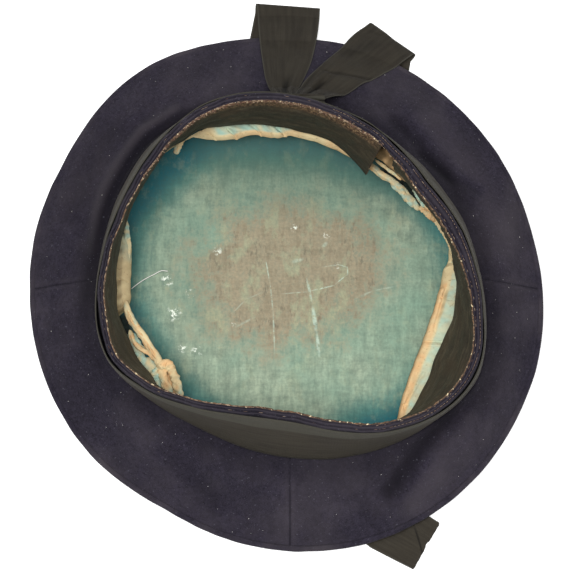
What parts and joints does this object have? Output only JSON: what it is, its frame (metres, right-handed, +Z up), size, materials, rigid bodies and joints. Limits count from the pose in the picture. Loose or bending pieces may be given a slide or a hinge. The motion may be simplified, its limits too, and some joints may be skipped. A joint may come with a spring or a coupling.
{
  "type": "sailor cap",
  "caption": "Round navy wool sailor cap resting upside down on its crown, with a standing band, sweatband, lining and a ribbon whose tails run under the crown.",
  "frame": {"origin": "middle of the crown's flat outer face, which rests on the surface", "axes": "+Z up from the crown through the head opening, -Y towards the front of the cap, +Y towards the back, where the ribbon's tails leave the band, +X to the right"},
  "size_m": [0.2786, 0.3152, 0.0722],
  "materials": {
    "navy_wool": "fulled navy wool cloth, matt",
    "ribbon": "faded black ribbed silk ribbon",
    "oilcloth": "scuffed dark oilcloth with a dull shine",
    "teal_cotton": "worn teal cotton lining",
    "cream_hem": "cream and pale teal cotton, creased"
  },
  "bodies": {
    "root": {"crown_disc": "navy_wool", "rim_welt": "navy_wool", "side_panel_front_right": "navy_wool", "side_panel_back_right": "navy_wool", "side_panel_back_left": "navy_wool", "side_panel_front_left": "navy_wool", "head_band": "navy_wool", "sweatband": "oilcloth", "lining_crown": "teal_cotton", "lining_side": "teal_cotton", "lining_hem": "cream_hem", "tally_wrap": "ribbon", "tally_knot": "ribbon", "tail_left": "ribbon", "tail_right": "ribbon"}
  },
  "joints": []
}
